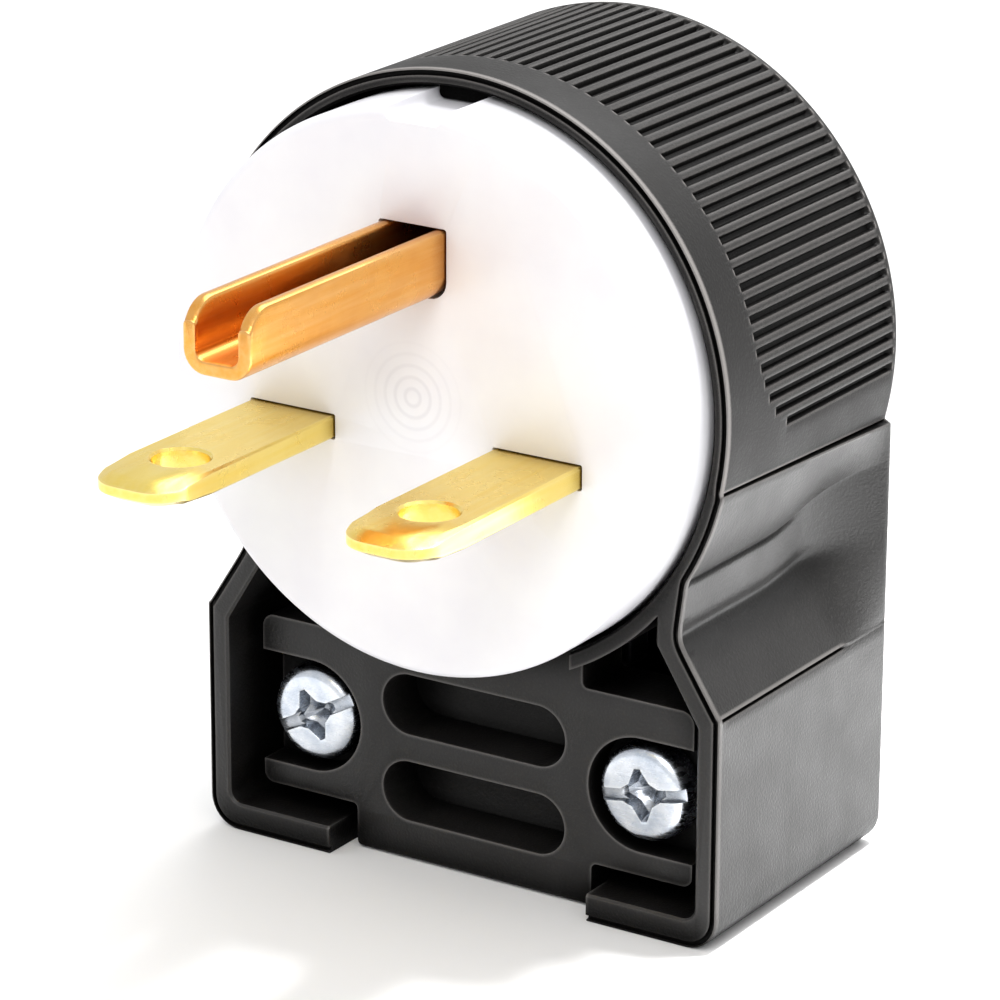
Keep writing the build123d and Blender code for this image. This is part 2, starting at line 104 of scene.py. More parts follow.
# Blades and ground pin.
BLADE_X, BLADE_WIDTH, BLADE_THICK, TIP_CORNER = 9.13, 6.35, 1.52, 2.3
BLADE_HOLE, BLADE_HOLE_LIP, BLADE_HOLE_Y = 1.85, 0.16, -11.9
PAD_INNER_X, PAD_OUTER_X, PIN_PAD_HALF, PAD_CORNER = 4.9, 12.7, 3.6, 0.5
BLADE_Z = BLADE_TOP - BLADE_THICK / 2
PAD_FRONT = PAD_BACK - BLADE_THICK
PIN_WIDTH, PIN_WALL, PIN_FOLD, PIN_HEIGHT, PIN_NOSE, PIN_RIM = 4.83, 0.9, 1.5, 4.4, 2.0, 0.28

# Screws: head height, radius of the shank, depth and pitch of the thread.
CLAMP_SCREW = (2.2, 1.70, 0.34, 0.794)
TERMINAL_SCREW = (2.0, 1.68, 0.34, 0.794)
BODY_SCREW = (1.6, 1.18, 0.26, 1.0)
DRIVER_SLOT_HALF = 0.42


# ---------------------------------------------------------------- mesh helpers
def new_object(name, verts, faces):
    mesh = bpy.data.meshes.new(name)
    mesh.from_pydata([Vector(v) * MM for v in verts], [], faces)
    bm = bmesh.new()
    bm.from_mesh(mesh)
    bmesh.ops.recalc_face_normals(bm, faces=bm.faces)
    bm.to_mesh(mesh)
    bm.free()
    obj = bpy.data.objects.new(name, mesh)
    bpy.context.scene.collection.objects.link(obj)
    return obj


def loft(name, loops):
    """Closed solid through loops of equal length, capped at both ends."""
    size = len(loops[0])
    verts = [point for loop in loops for point in loop]
    faces = []
    for row in range(len(loops) - 1):
        start, after = row * size, (row + 1) * size
        for i in range(size):
            j = (i + 1) % size
            faces.append((start + i, start + j, after + j, after + i))
    faces.append(tuple(range(size))[::-1])
    faces.append(tuple(range((len(loops) - 1) * size, len(loops) * size)))
    return new_object(name, verts, faces)


def at_y(outline, y):
    return [(x, y, z) for x, z in outline]


def circle(radius, x=0.0, z=0.0, count=96):
    turn = 2 * math.pi / count
    return [(x + radius * math.cos(i * turn), z + radius * math.sin(i * turn))
            for i in range(count)]


def quarter(steps, start=0):
    """Cosine and sine of the angles of a quarter turn, in steps + 1 points."""
    angles = [math.radians(start + 90 * step / steps) for step in range(steps + 1)]
    return [(math.cos(angle), math.sin(angle)) for angle in angles]


def turned(outline, degrees):
    cosine, sine = math.cos(math.radians(degrees)), math.sin(math.radians(degrees))
    return [(x * cosine - z * sine, x * sine + z * cosine) for x, z in outline]


def lathe(name, profile, x=0.0, z=0.0, count=96):
    """Solid of revolution about a Y axis through (x, z), from a list of (radius, y)."""
    return loft(name, [at_y(circle(radius, x, z, count), y) for radius, y in profile])


def rod(name, radius, start, end, x, z, count=32):
    return lathe(name, [(radius, start), (radius, end)], x, z, count)


def prism(name, outline, start, end):
    """Solid with the same outline from y = start to y = end."""
    return loft(name, [at_y(outline, start), at_y(outline, end)])


def rectangle(x0, x1, z0, z1):
    return [(x0, z0), (x1, z0), (x1, z1), (x0, z1)]


def block(name, x0, x1, y0, y1, z0, z1):
    return prism(name, rectangle(min(x0, x1), max(x0, x1), z0, z1), y0, y1)


def rounded(points, radii, steps=6):
    """Polygon with its corners rounded; radii is one number or one per corner."""
    if not isinstance(radii, (list, tuple)):
        radii = [radii] * len(points)
    outline = []
    for i, radius in enumerate(radii):
        corner = Vector(points[i])
        if radius == 0:
            outline.append(tuple(corner))
            continue
        before = (Vector(points[i - 1]) - corner).normalized()
        after = (Vector(points[(i + 1) % len(points)]) - corner).normalized()
        half = before.angle(after) / 2
        centre = corner + (before + after).normalized() * radius / math.sin(half)
        first = corner + before * radius / math.tan(half) - centre
        last = corner + after * radius / math.tan(half) - centre
        start = math.atan2(first.y, first.x)
        sweep = (math.atan2(last.y, last.x) - start + math.pi) % (2 * math.pi) - math.pi
        for step in range(steps + 1):
            angle = start + sweep * step / steps
            outline.append((centre.x + radius * math.cos(angle),
                            centre.y + radius * math.sin(angle)))
    return outline


def stadium(width, height, z):
    """Slot with round ends, centred on x = 0; just short of a half circle, so no corner is lost."""
    half_width, half = width / 2, height / 2
    return rounded(rectangle(-half_width, half_width, z - half, z + half), 0.999 * half, 16)


def inset(outline, amount):
    """Outline moved inwards by amount (outwards when it is negative)."""
    count = len(outline)
    area = sum(outline[i - 1][0] * outline[i][1] - outline[i][0] * outline[i - 1][1]
               for i in range(count))
    side = amount if area > 0 else -amount
    moved = []
    for i in range(count):
        point = Vector(outline[i])
        before = point - Vector(outline[i - 1])
        after = Vector(outline[(i + 1) % count]) - point
        before.normalize()
        after.normalize()
        along = (before + after).normalized()
        reach = side / max(0.5, along.dot(after))
        moved.append((point.x - along.y * reach, point.y + along.x * reach))
    return untangle(outline, moved)


def untangle(outline, moved):
    """Spreads out the points that crossed over each other at tight corners."""
    count, passes = len(outline), 6

    def crossed(i):
        j = (i + 1) % count
        step = Vector(outline[j]) - Vector(outline[i])
        return (Vector(moved[j]) - Vector(moved[i])).dot(step) <= 0

    for _ in range(passes):
        bad = [crossed(i) for i in range(count)]
        if not any(bad):
            break
        start = bad.index(False)
        i = 0
        while i < count:
            if not bad[(start + i) % count]:
                i += 1
                continue
            length = 1
            while bad[(start + i + length) % count]:
                length += 1
            first, last = start + i - 1, start + i + length + 1
            a, b = Vector(moved[first % count]), Vector(moved[last % count])
            for k in range(first + 1, last):
                moved[k % count] = tuple(a.lerp(b, (k - first) / (last - first)))
            i += length + 1
    return moved


def apply_modifiers(obj):
    """Bakes the modifiers into the mesh."""
    graph = bpy.context.evaluated_depsgraph_get()
    graph.update()
    mesh = bpy.data.meshes.new_from_object(obj.evaluated_get(graph))
    obj.modifiers.clear()
    obj.data = mesh


def boolean(obj, operation, *tools):
    """Applies the tools one after another and deletes them."""
    for tool in tools:
        step = obj.modifiers.new("boolean", "BOOLEAN")
        step.operation = operation
        step.solver = "EXACT"
        step.object = tool
        apply_modifiers(obj)
        bpy.data.objects.remove(tool)
    return obj


def cut(obj, *tools):
    return boolean(obj, "DIFFERENCE", *tools)


def fuse(obj, *tools):
    return boolean(obj, "UNION", *tools)


def bevel(obj, width, angle=40, segments=2):
    step = obj.modifiers.new("bevel", "BEVEL")
    step.limit_method = "ANGLE"
    step.angle_limit = math.radians(angle)
    step.width = width * MM
    step.segments = segments
    apply_modifiers(obj)
    return obj


def shade(obj, angle=32):
    """Smooth shading everywhere except over edges sharper than the angle."""
    weld = 1e-7
    bm = bmesh.new()
    bm.from_mesh(obj.data)
    bmesh.ops.remove_doubles(bm, verts=bm.verts, dist=weld)
    bmesh.ops.dissolve_degenerate(bm, edges=bm.edges, dist=weld)
    for face in bm.faces:
        face.smooth = True
    for edge in bm.edges:
        edge.smooth = edge.calc_face_angle(0.0) < math.radians(angle)
    bm.to_mesh(obj.data)
    bm.free()
    return obj


def blend01(value, start, end):
    """Smooth step from 0 at start to 1 at end."""
    t = min(1.0, max(0.0, (value - start) / (end - start)))
    return t * t * (3 - 2 * t)


def mix(a, b, factor):
    return a + (b - a) * factor


def place(obj, body, slot, *nodes):
    """Hands a finished piece over: its body, its slot with its material, and its CAD nodes."""
    obj.data.materials.clear()
    obj.data.materials.append(MATERIALS[slot])
    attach(obj, body)
    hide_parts(*nodes)


# ---------------------------------------------------------------- material helpers
class Nodes:
    """Short calls for building one node material."""

    def __init__(self, name):
        self.material = bpy.data.materials.new(name)
        self.material.use_nodes = True
        self.tree = self.material.node_tree
        self.shader = self.tree.nodes["Principled BSDF"]
        self.object_space = self.tree.nodes.new("ShaderNodeTexCoord").outputs["Object"]

    def link(self, source, target):
        self.tree.links.new(source, target)

    def noise(self, scale, detail=4.0, roughness=0.5, stretch=(1, 1, 1)):
        """Noise in object space; scale is in cells per metre."""
        mapping = self.tree.nodes.new("ShaderNodeMapping")
        mapping.inputs["Scale"].default_value = stretch
        self.link(self.object_space, mapping.inputs["Vector"])
        node = self.tree.nodes.new("ShaderNodeTexNoise")
        node.inputs["Scale"].default_value = scale
        node.inputs["Detail"].default_value = detail
        node.inputs["Roughness"].default_value = roughness
        self.link(mapping.outputs["Vector"], node.inputs["Vector"])
        return node.outputs["Fac"]

    def ramp(self, source, low, high, first, last):
        """Maps source from low..high to first..last, numbers or colours."""
        if isinstance(first, (int, float)):
            node = self.tree.nodes.new("ShaderNodeMapRange")
            limits = {"From Min": low, "From Max": high, "To Min": first, "To Max": last}
            for socket, value in limits.items():
                node.inputs[socket].default_value = value
            self.link(source, node.inputs["Value"])
            return node.outputs["Result"]
        node = self.tree.nodes.new("ShaderNodeValToRGB")
        ends = node.color_ramp.elements
        ends[0].position, ends[1].position = low, high
        ends[0].color, ends[1].color = (*first, 1), (*last, 1)
        self.link(source, node.inputs["Fac"])
        return node.outputs["Color"]

    def mix_colour(self, factor, a, b):
        """Colour a at factor 0, b at factor 1; each is a number, a colour or an output."""
        node = self.tree.nodes.new("ShaderNodeMix")
        node.data_type = "RGBA"
        factor_socket, a_socket, b_socket, colour_output = 0, 6, 7, 2
        for socket, value in ((factor_socket, factor), (a_socket, a), (b_socket, b)):
            if isinstance(value, (int, float)):
                node.inputs[socket].default_value = value
            elif isinstance(value, tuple):
                node.inputs[socket].default_value = (*value, 1)
            else:
                self.link(value, node.inputs[socket])
        return node.outputs[colour_output]

    def maths(self, operation, a, b=0.0):
        node = self.tree.nodes.new("ShaderNodeMath")
        node.operation = operation
        for index, value in enumerate((a, b)):
            if isinstance(value, (int, float)):
                node.inputs[index].default_value = value
            else:
                self.link(value, node.inputs[index])
        return node.outputs["Value"]

    def split(self):
        """X, Y and Z in object space."""
        node = self.tree.nodes.new("ShaderNodeSeparateXYZ")
        self.link(self.object_space, node.inputs["Vector"])
        return [node.outputs[axis] for axis in "XYZ"]

    def occlusion(self, reach, inside=False):
        """1 where nothing is near within reach millimetres, outside or inside the surface."""
        node = self.tree.nodes.new("ShaderNodeAmbientOcclusion")
        node.samples = 6
        node.inside = inside
        node.inputs["Distance"].default_value = reach * MM
        return node.outputs["AO"]

    def edges(self, reach=0.25):
        """1 along outward edges, 0 elsewhere; reach is in millimetres. It places the lighter edges,
        which are partly wear and partly painted highlight.
        """
        return self.ramp(self.occlusion(reach, True), 0.62, 0.92, 1.0, 0.0)

    def unshaded_share(self, reach=3.5, closed=0.45, clear=0.92):
        """0 deep in hollows, 1 on open surfaces; it sets where shade is painted."""
        return self.ramp(self.occlusion(reach), closed, clear, 0.0, 1.0)

    def above_seam(self):
        """1 on the textured barrel, 0 on the smooth neck below the sloping seam."""
        _, y, z = self.split()
        slope = (SEAM_BACK - SEAM_FRONT) / (BACK - FRONT)
        level = self.maths("SUBTRACT", z, self.maths("MULTIPLY", y, slope))
        seam = (SEAM_FRONT - slope * FRONT) * MM
        above = self.ramp(level, seam - 0.02 * MM, seam + 0.08 * MM, 0.0, 1.0)
        side = self.ramp(y, (BACK - 0.5) * MM, (BACK - 0.1) * MM, 1.0, 0.0)
        return self.maths("MULTIPLY", above, side)

    def bump(self, height, distance, strength, after=None):
        """Relief of distance millimetres, on top of the relief after."""
        node = self.tree.nodes.new("ShaderNodeBump")
        node.inputs["Strength"].default_value = strength
        node.inputs["Distance"].default_value = distance * MM
        self.link(height, node.inputs["Height"])
        if after is not None:
            self.link(after, node.inputs["Normal"])
        return node.outputs["Normal"]

    def finish(self, colour, roughness, normal, **constants):
        """Joins the three outputs to the shader and sets its other sockets."""
        self.link(colour, self.shader.inputs["Base Color"])
        self.link(roughness, self.shader.inputs["Roughness"])
        self.link(normal, self.shader.inputs["Normal"])
        for socket, value in constants.items():
            self.shader.inputs[socket.replace("_", " ")].default_value = value
        return self.material


# ---------------------------------------------------------------- materials
def scaled(colour, factor):
    return tuple(min(1, factor * channel) for channel in colour)


def moulded_nylon(name, dark, light, roughness):
    """Black glass-filled nylon: fine speckle, painted shade in hollows, and lighter edges that are
    partly rubbed wear and partly painted highlight.
    The barrel is matt and the neck below the seam is smoother."""
    n = Nodes(name)
    speckle = n.noise(5200, 2.0, 0.6)
    cloud = n.noise(260, 3.0, 0.55)
    colour = n.ramp(cloud, 0.3, 0.7, dark, light)
    flecks = n.ramp(speckle, 0.50, 0.74, 0.0, 0.5)
    colour = n.mix_colour(flecks, colour, scaled(light, 1.9))
    barrel = n.above_seam()
    # Lighter edges and rib crests: partly rubbed wear, partly painted highlight, stronger on the
    # barrel.
    wear_and_highlight = n.maths("MULTIPLY", n.edges(), n.ramp(barrel, 0.0, 1.0, 0.45, 0.95))
    colour = n.mix_colour(wear_and_highlight, colour, scaled(light, 18))
    # Painted shade: colour sinks to near black deep in hollows and voids, and the specular level
    # drops there too.
    clear = n.unshaded_share()
    colour = n.mix_colour(clear, scaled(dark, 0.15), colour)
    sheen = n.ramp(clear, 0.0, 1.0, 0.03, 0.34)
    sheen = n.maths("MULTIPLY", sheen, n.ramp(barrel, 0.0, 1.0, 1.0, 0.72))
    n.link(sheen, n.shader.inputs["Specular IOR Level"])
    rough = n.ramp(cloud, 0.3, 0.7, roughness - 0.05, roughness + 0.06)
    rough = n.maths("ADD", rough, n.maths("MULTIPLY", barrel, 0.16))
    grain = n.bump(speckle, 0.045, 0.75)
    return n.finish(colour, rough, n.bump(n.noise(900, 3.0), 0.03, 0.35, grain), IOR=1.53)


def white_nylon(name):
    """White nylon face with faint turned rings at its centre, their grooves darkened as painted
    shade, and a faint lavender-grey mottle that is partly tone and partly painted soft shade.
    """
    n = Nodes(name)
    cloud = n.noise(160, 4.0)
    fine = n.noise(3800, 2.0)
    # Mottled lavender-grey tone: partly the nylon's own tone, partly painted soft shade across the
    # face.
    colour = n.ramp(cloud, 0.3, 0.7, (0.76, 0.75, 0.79), (0.82, 0.82, 0.84))
    x, _, z = n.split()
    ring_pitch, ring_start, ring_end = 0.75, 1.0, 4.4
    squares = n.maths("ADD", n.maths("MULTIPLY", x, x), n.maths("MULTIPLY", z, z))
    distance = n.maths("SQRT", squares)
    waves = n.maths("SINE", n.maths("MULTIPLY", distance, 2 * math.pi / (ring_pitch * MM)))
    near = n.ramp(distance, ring_start * MM, ring_end * MM, 1.0, 0.0)
    rings = n.maths("MULTIPLY", waves, near)
    # Painted shade: the ring grooves are darkened in colour; their relief comes from the bump
    # below.
    colour = n.mix_colour(n.ramp(rings, -1.0, -0.1, 0.30, 0.0), colour, (0.52, 0.51, 0.56))
    rough = n.ramp(cloud, 0.3, 0.7, 0.30, 0.42)
    normal = n.bump(rings, 0.012, 0.6, n.bump(fine, 0.012, 0.4))
    return n.finish(colour, rough, normal, IOR=1.53)


def brass(name, deep, mid, bright, roughness):
    """Rolled strip: faint lines along the blade, tarnish in patches, painted shade in hollows, and
    brighter edges that are partly rubbed wear and partly painted highlight.
    """
    n = Nodes(name)
    rolled = n.noise(900, 3.0, 0.6, (2.4, 0.12, 2.4))
    patches = n.noise(230, 5.0, 0.6)
    colour = n.mix_colour(n.ramp(patches, 0.42, 0.78, 0.0, 0.40), mid, deep)
    colour = n.mix_colour(n.ramp(rolled, 0.35, 0.7, 0.0, 0.25), colour, bright)
    # Painted shade: colour sinks towards dark brass deep in hollows, such as inside the ground pin.
    colour = n.mix_colour(n.unshaded_share(2.6, 0.35, 0.80), scaled(deep, 0.45), colour)
    # Brighter edges: partly rubbed wear, partly painted highlight.
    colour = n.mix_colour(n.maths("MULTIPLY", n.edges(), 0.6), colour, bright)
    rough = n.ramp(patches, 0.3, 0.75, roughness, roughness + 0.14)
    normal = n.bump(rolled, 0.02, 0.45, n.bump(n.noise(2600, 2.0), 0.008, 0.5))
    return n.finish(colour, rough, normal, Metallic=1.0)


def plated_steel(name, dull, bright, roughness):
    """Zinc plate: blotches, fine scratches, painted shade in hollows, and bright edges that are
    partly wear and partly painted highlight.
    """
    n = Nodes(name)
    blotch = n.noise(700, 5.0, 0.6)
    scratch = n.noise(1500, 2.0, 0.5, (0.3, 1.0, 3.0))
    colour = n.ramp(blotch, 0.32, 0.68, dull, bright)
    # Painted shade: colour sinks towards dark grey deep in hollows, such as the screw recesses.
    colour = n.mix_colour(n.unshaded_share(1.6, 0.40, 0.92), scaled(dull, 0.22), colour)
    # Bright edges: partly wear, partly painted highlight.
    colour = n.mix_colour(n.maths("MULTIPLY", n.edges(), 0.5), colour, scaled(bright, 1.1))
    rough = n.ramp(scratch, 0.3, 0.7, roughness - 0.06, roughness + 0.10)
    normal = n.bump(scratch, 0.006, 0.4, n.bump(blotch, 0.015, 0.4))
    return n.finish(colour, rough, normal, Metallic=1.0)


FINISHES = {
    "black_nylon": (moulded_nylon, (0.0088, 0.0082, 0.0078), (0.0125, 0.0117, 0.0112), 0.40),
    "terminal_plastic": (moulded_nylon, (0.014, 0.014, 0.016), (0.020, 0.020, 0.023), 0.45),
    "white_nylon": (white_nylon,),
    "blade_brass": (brass, (0.82, 0.54, 0.08), (0.91, 0.69, 0.16), (0.97, 0.86, 0.44), 0.20),
    "ground_brass": (brass, (0.62, 0.20, 0.03), (0.85, 0.40, 0.08), (0.97, 0.68, 0.32), 0.22),
    "zinc_steel": (plated_steel, (0.55, 0.61, 0.70), (0.86, 0.89, 0.94), 0.24),
    "brass_screw": (brass, (0.66, 0.44, 0.12), (0.82, 0.64, 0.26), (0.96, 0.86, 0.54), 0.26),
    "green_screw": (plated_steel, (0.03, 0.20, 0.07), (0.07, 0.36, 0.14), 0.30),
}
MATERIALS = {slot: make(slot, *looks) for slot, (make, *looks) in FINISHES.items()}


# ---------------------------------------------------------------- housing
def seam_level(y):
    return mix(SEAM_FRONT, SEAM_BACK, (y - FRONT) / (BACK - FRONT))


def groove_front(index):
    """Where groove number index, counted from the top, starts."""
    from_last = GROOVES_EACH_SIDE - abs(index)
    return LOW_GROOVE_FRONTS[from_last] if from_last < len(LOW_GROOVE_FRONTS) else GROOVE_FRONT


def ribbed_arc(y):
    """Points of the ribbed arc at y, from its right end over the top to its left end."""
    points = []
    for index in range(GROOVES_EACH_SIDE, -GROOVES_EACH_SIDE - 1, -1):
        opening = min(1.0, max(0.0, (y - groove_front(index)) / GROOVE_RUN))
        closing = min(1.0, max(0.0, (GROOVE_BACK - y) / GROOVE_RUN))
        open_part = opening * closing
        depth = GROOVE_DEPTH * math.sqrt(open_part)
        for across, share in GROOVE_PROFILE:
            angle = math.pi / 2 - (index - across) * GROOVE_STEP
            radius = RADIUS - depth * share
            points.append((radius * math.cos(angle), radius * math.sin(angle)))
    return points


def soft_max(values, softness):
    """Largest value, with the change from one to another rounded off."""
    top = max(values)
    return top + softness * math.log(sum(math.exp((v - top) / softness) for v in values))


def waist_x(level):
    """Half width of the front of the neck at a level between the seam and the shoulder."""
    collar = math.sqrt(max(0.0, COLLAR**2 - level**2))
    ridge_x = math.sqrt(COLLAR**2 - RIDGE**2)
    upper = VALLEY_X + (level - VALLEY) * (ridge_x - VALLEY_X) / (RIDGE - VALLEY)
    lower = VALLEY_X + (VALLEY - level) * (HALF_WIDTH - VALLEY_X) / (VALLEY - SHOULDER)
    return soft_max((collar, soft_max((upper, lower), VALLEY_SOFTNESS)), RIDGE_SOFTNESS)


def crease(level, y, centre, half, depth, start, end):
    """Depth at a level of a soft crease round centre, which fades from y = start to end."""
    return depth * (1 - blend01(y, start, end)) * math.exp(-((level - centre) / half) ** 2)


# Points gather near the ridge and the valley, where the side bends most.
NECK_PARTS = ((18, lambda t: 1 - (1 - t) ** 2), (20, lambda t: t * t * (3 - 2 * t)),
              (22, lambda t: t ** 1.6))


def neck_side(y, detail):
    """Right side of the neck at y, from the seam down to the shoulder."""
    start, end = WAIST_FADE
    fade = min(1.0, max(0.0, (y - start) / (end - start))) ** 1.5
    rise = blend01(y, *WAIST_RISE)
    front_marks = (SEAM_FRONT, RIDGE, VALLEY, SHOULDER)
    marks = (seam_level(y), RIDGE + RIDGE_RISE * rise, VALLEY + VALLEY_RISE * rise, SHOULDER)
    points = []
    for part, (steps, gather) in enumerate(NECK_PARTS):
        for step in range(steps):
            share = gather(step / steps)
            front_level = mix(front_marks[part], front_marks[part + 1], share)
            x = min(waist_x(front_level), HALF_WIDTH)
            x -= detail * crease(front_level, y, RIDGE, *RIDGE_CREASE)
            x -= detail * crease(front_level, y, VALLEY, *VALLEY_CREASE)
            level = mix(marks[part], marks[part + 1], share)
            points.append((mix(x, HALF_WIDTH, fade), level))
    return points


def housing_outline(y, detail):
    """Outer outline of the housing at y, counterclockwise from the underside.
    The slit under the shoulder and the groove along the seam close as detail goes to 0."""
    slit = SLIT_DEPTH * (1 - blend01(y, *SLIT_FADE)) * detail
    seam = seam_level(y)
    low = [(8.0, UNDERSIDE), (14.0, UNDERSIDE)]
    low += [(HALF_WIDTH - CORNER + CORNER * cosine, UNDERSIDE + CORNER + CORNER * sine)
            for cosine, sine in quarter(8, -90)]
    low += [(HALF_WIDTH, z) for z in SKIRT_LEVELS]
    edge = HALF_WIDTH - LIP_DEPTH * detail
    low += [(edge, SHOULDER - 0.13), (edge - slit, SHOULDER - 0.10),
            (edge - slit, SHOULDER + 0.08), (edge - 0.02, SHOULDER + 0.12)]
    neck = neck_side(y, detail)
    low += neck[:0:-1]
    lip_x = neck[0][0]
    groove = SEAM_DEPTH * detail
    low += [(lip_x, seam - 0.12), (lip_x - 0.04, seam - 0.02), (lip_x - 0.08 - groove, seam)]
    barrel_angle = math.asin((seam + 0.18) / RADIUS)
    low.append(((RADIUS - groove) * math.cos(barrel_angle),
                (RADIUS - groove) * math.sin(barrel_angle)))
    rib_end = math.pi / 2 - (GROOVES_EACH_SIDE + 0.5) * GROOVE_STEP
    for step in range(4):
        angle = mix(barrel_angle, rib_end, step / 4)
        low.append((RADIUS * math.cos(angle), RADIUS * math.sin(angle)))
    left = [(-x, z) for x, z in reversed(low)]
    return low + ribbed_arc(y) + left


def housing_stations():
    """(y, inset, detail) of every row of the outer skin, front to back."""
    rim = ((0.0, 0.50), (0.03, 0.46), (0.34, 0.44), (0.34, 0.16), (0.06, 0.12), (0.10, 0.03),
           (0.20, 0.0), (0.38, 0.0))
    rows = [(FRONT + back, depth, 0.0) for back, depth in rim] + [(FRONT + 0.44, 0.0, 1.0)]
    run_in = (0.0, 0.04, 0.14, GROOVE_RUN)
    depths = {6.5, 8.0, 13.5, 15.0, 16.5}
    depths |= {start + run for start in LOW_GROOVE_FRONTS + (GROOVE_FRONT,) for run in run_in}
    depths |= {18.0 + 0.5 * step for step in range(16)}
    depths |= {GROOVE_BACK - run for run in run_in}
    rows += [(y, 0.0, 1.0) for y in sorted(depths)]
    rows.append((BACK - 0.5, 0.0, 0.0))
    rows += [(BACK - BACK_EDGE + BACK_EDGE * sine, BACK_EDGE * (1 - cosine), 0.0)
             for cosine, sine in quarter(5)[1:]]
    return rows


def housing_row(y, depth, detail):
    """One row of the outer skin; a full inset is worked out once and shared out by depth."""
    outline, deepest = housing_outline(y, detail), 0.5
    if depth == 0:
        return at_y(outline, y)
    inner = inset(outline, deepest)
    share = depth / deepest
    return [(mix(a[0], b[0], share), y, mix(a[1], b[1], share)) for a, b in zip(outline, inner)]


def housing_hollow():
    """Everything that is cut out of the housing, as one solid."""
    inner_back = BACK - BACK_WALL
    floor = UNDERSIDE + FLOOR_WALL
    side, waist = HALF_WIDTH - WALL, VALLEY_X - WALL
    right = [(side, floor), (side, SHOULDER - 0.7), (waist, VALLEY - 0.5), (waist, -8.0)]
    neck = rounded(right + [(-x, z) for x, z in reversed(right)],
                   [0.9, 0.5, 0.5, 0, 0, 0.5, 0.5, 0.9])
    flared = inset(neck, -MOUTH_EASE)
    hollow = loft("hollow", [at_y(flared, FRONT - 2), at_y(flared, FRONT),
                             at_y(neck, FRONT + MOUTH_EASE), at_y(neck, inner_back)])
    ring = lathe("ring", [(RADIUS, FRONT - 3), (RADIUS, SEAT_BACK)], count=192)
    gap = block("gap", -RING_GAP, RING_GAP, FRONT - 4, SEAT_BACK + 1, -30, 0)
    cut(hollow, cut(ring, gap))
    mouth = FACE_BORE + MOUTH_EASE
    bore = lathe("bore", [(mouth, FRONT - 2.5), (mouth, FRONT),
                          (FACE_BORE, FRONT + MOUTH_EASE), (FACE_BORE, SEAT)], count=192)
    seat = lathe("seat", [(SEAT_BORE, SEAT - 1), (SEAT_BORE, inner_back)], count=192)
    fuse(hollow, bore, seat)
    for mirror in (-1, 1):
        x = mirror * CLAMP_SCREW_X
        post = block("post", mirror * POST_IN, mirror * (HALF_WIDTH + 2), POST_FRONT, BACK,
                     CLAMP_SCREW_Z - POST_HALF, CLAMP_SCREW_Z + POST_HALF)
        bevel(post, 0.25)
        half = NUT_ACROSS / 2 + NUT_SIDE_GAP
        slot = block("slot", mirror * (POST_IN - 1), x + mirror * half, NUT_FRONT - NUT_END_GAP,
                     NUT_FRONT + NUT_THICK + NUT_END_GAP, CLAMP_SCREW_Z - half,
                     CLAMP_SCREW_Z + half)
        hole = rod("hole", CLAMP_SCREW_HOLE, POST_FRONT - 1, inner_back - 0.4, x, CLAMP_SCREW_Z)
        cut(hollow, cut(post, slot, hole))
    bar_end = POST_IN + 0.02
    for level in JAW_LEVELS:
        cut(hollow, block("bar", -bar_end, bar_end, inner_back - GRIP_BAR_DEPTH, BACK,
                          level - JAW_HALF, level + JAW_HALF))
    key_half = KEY_WIDTH / 2 - KEY_GAP
    key = rectangle(-key_half, key_half, KEY_LEVEL + KEY_GAP, RADIUS)
    key = prism("key", rounded(key, [0.4, 0.4, 0, 0]), KEY_FRONT, KEY_BACK - KEY_GAP)
    cut(hollow, bevel(key, 0.15))
    front_part, low, high = POST_FRONT - OUTLET_STEP, UNDERSIDE - 2, floor + 0.5
    centre = inner_back - OUTLET_RADIUS - OUTLET_WALL
    outlet = block("outlet", -OUTLET_HALF_WIDTH, OUTLET_HALF_WIDTH, FRONT - 2, front_part,
                   low, high)
    throat = block("throat", -OUTLET_RADIUS, OUTLET_RADIUS, front_part - 0.5, centre, low, high)
    return fuse(hollow, outlet, throat, round_outlet(centre, low, high))


def round_outlet(centre, low, high):
    """Back half of the cord outlet, with a rolled lower lip."""
    rows = ((1.5, low), (0.6, UNDERSIDE), (0.18, UNDERSIDE + 0.22), (0.0, UNDERSIDE + 0.6),
            (0.0, high))
    return loft("round_outlet", [[(x, centre + y, z) for x, y in circle(OUTLET_RADIUS + flare)]
                                 for flare, z in rows])


def housing():
    shell = loft("housing_shell", [housing_row(*station) for station in housing_stations()])
    shade(cut(shell, housing_hollow()), 40)
    place(shell, "plug", "black_nylon", "housing")


# ---------------------------------------------------------------- mating face
def face_profile():
    """(radius, y) of the disc: rounded front edge and a narrower body behind the seat."""
    centre = FACE_RADIUS - FACE_EDGE
    profile = [(centre + FACE_EDGE * sine, FACE_EDGE * (1 - cosine)) for cosine, sine in quarter(8)]
    return profile + [(FACE_RADIUS, SEAT), (FACE_BODY, SEAT), (FACE_BODY, FACE_BACK)]


